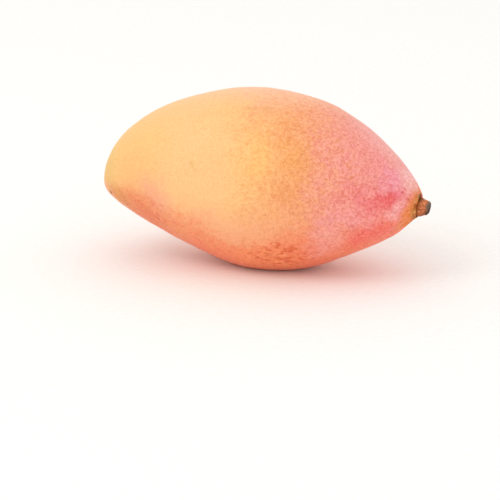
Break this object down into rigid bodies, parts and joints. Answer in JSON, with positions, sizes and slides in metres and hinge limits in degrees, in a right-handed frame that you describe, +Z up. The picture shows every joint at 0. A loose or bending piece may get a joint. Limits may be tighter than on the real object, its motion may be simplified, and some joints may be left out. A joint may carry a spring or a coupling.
{
  "type": "mango",
  "caption": "Whole ripe mango, long and egg-shaped with a blunt tip and a pointed stem end that keeps a short woody stub, lying on a small flat spot.",
  "frame": {"origin": "middle of the part's box in plan, on the surface that the fruit rests on", "axes": "+X along the fruit towards the stem end, +Y across it from cheek to cheek, +Z up through the back"},
  "size_m": [0.1382, 0.066, 0.0716],
  "materials": {
    "skin": "waxy satin skin, golden yellow with a pink-red blush towards the stem",
    "stem": "dry matt bark with a dark broken end"
  },
  "bodies": {
    "root": {"fruit": "skin", "stem_stub": "stem"}
  },
  "joints": []
}
